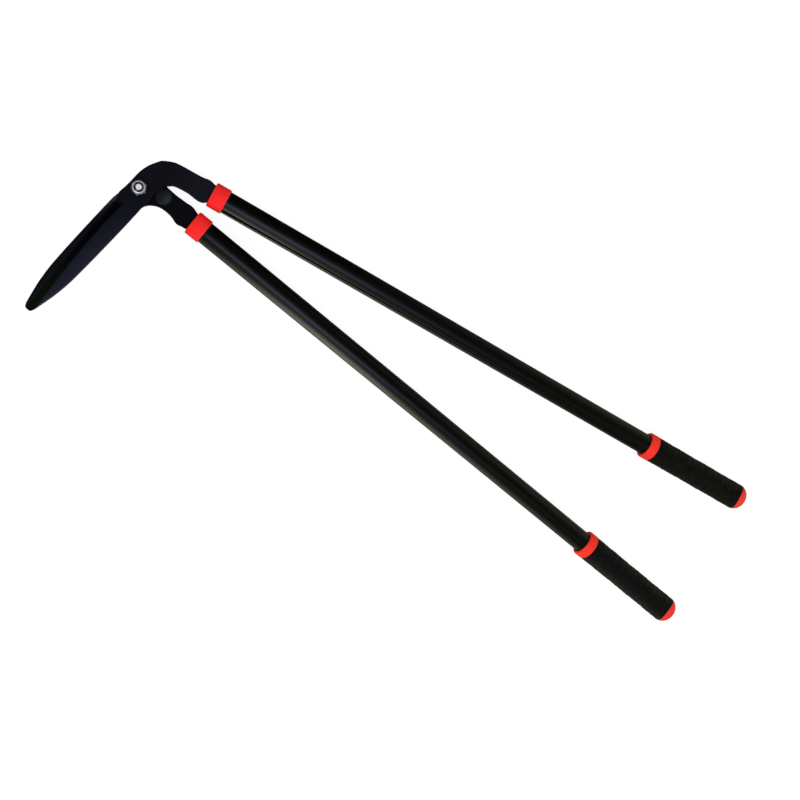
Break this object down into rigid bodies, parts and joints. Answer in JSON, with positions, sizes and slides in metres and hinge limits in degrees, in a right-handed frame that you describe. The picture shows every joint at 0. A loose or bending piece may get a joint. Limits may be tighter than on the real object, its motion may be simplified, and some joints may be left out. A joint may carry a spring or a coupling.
{
  "type": "long handled edging shears",
  "caption": "Long handled edging shears, closed: crossed black steel blades at a right angle to straight black tube handles with red ferrules and black rubber grips.",
  "frame": {"origin": "middle of the pivot bolt head's flat bottom face", "axes": "+X midway between the two closed handles, from the pivot towards the grips; +Z along the pivot bolt from its head to its nut; the closed blades point along -Y"},
  "size_m": [0.9425, 0.3271, 0.0418],
  "materials": {
    "blackened_steel": "satin black coating on steel",
    "black_paint": "gloss black on steel tube",
    "red_plastic": "satin",
    "grip_rubber": "matte, fine texture",
    "buffer_rubber": "satin",
    "zinc_steel": "bright zinc plated",
    "grey_nylon": "satin",
    "pale_nylon": "satin"
  },
  "bodies": {
    "lower_lever": {"lower_blade": "blackened_steel", "pivot_bolt": "zinc_steel", "pivot_washer": "zinc_steel", "pivot_nut": "zinc_steel", "nut_lock_ring": "grey_nylon", "stop_buffer": "buffer_rubber", "buffer_rivet": "zinc_steel", "lower_collar": "red_plastic", "lower_tube": "black_paint", "lower_tang_insert": "pale_nylon", "lower_tang_pin": "zinc_steel", "lower_grip_ring": "red_plastic", "lower_grip": "grip_rubber", "lower_end_cap": "red_plastic"},
    "upper_lever": {"upper_blade": "blackened_steel", "upper_collar": "red_plastic", "upper_tube": "black_paint", "upper_tang_insert": "pale_nylon", "upper_tang_pin": "zinc_steel", "upper_grip_ring": "red_plastic", "upper_grip": "grip_rubber", "upper_end_cap": "red_plastic"}
  },
  "joints": [
    {"name": "blade_pivot", "type": "hinge", "parent": "lower_lever", "child": "upper_lever", "pos_m": [0, 0, 0.0162], "axis": [0, 0, 1], "range_deg": [0, 45]}
  ]
}
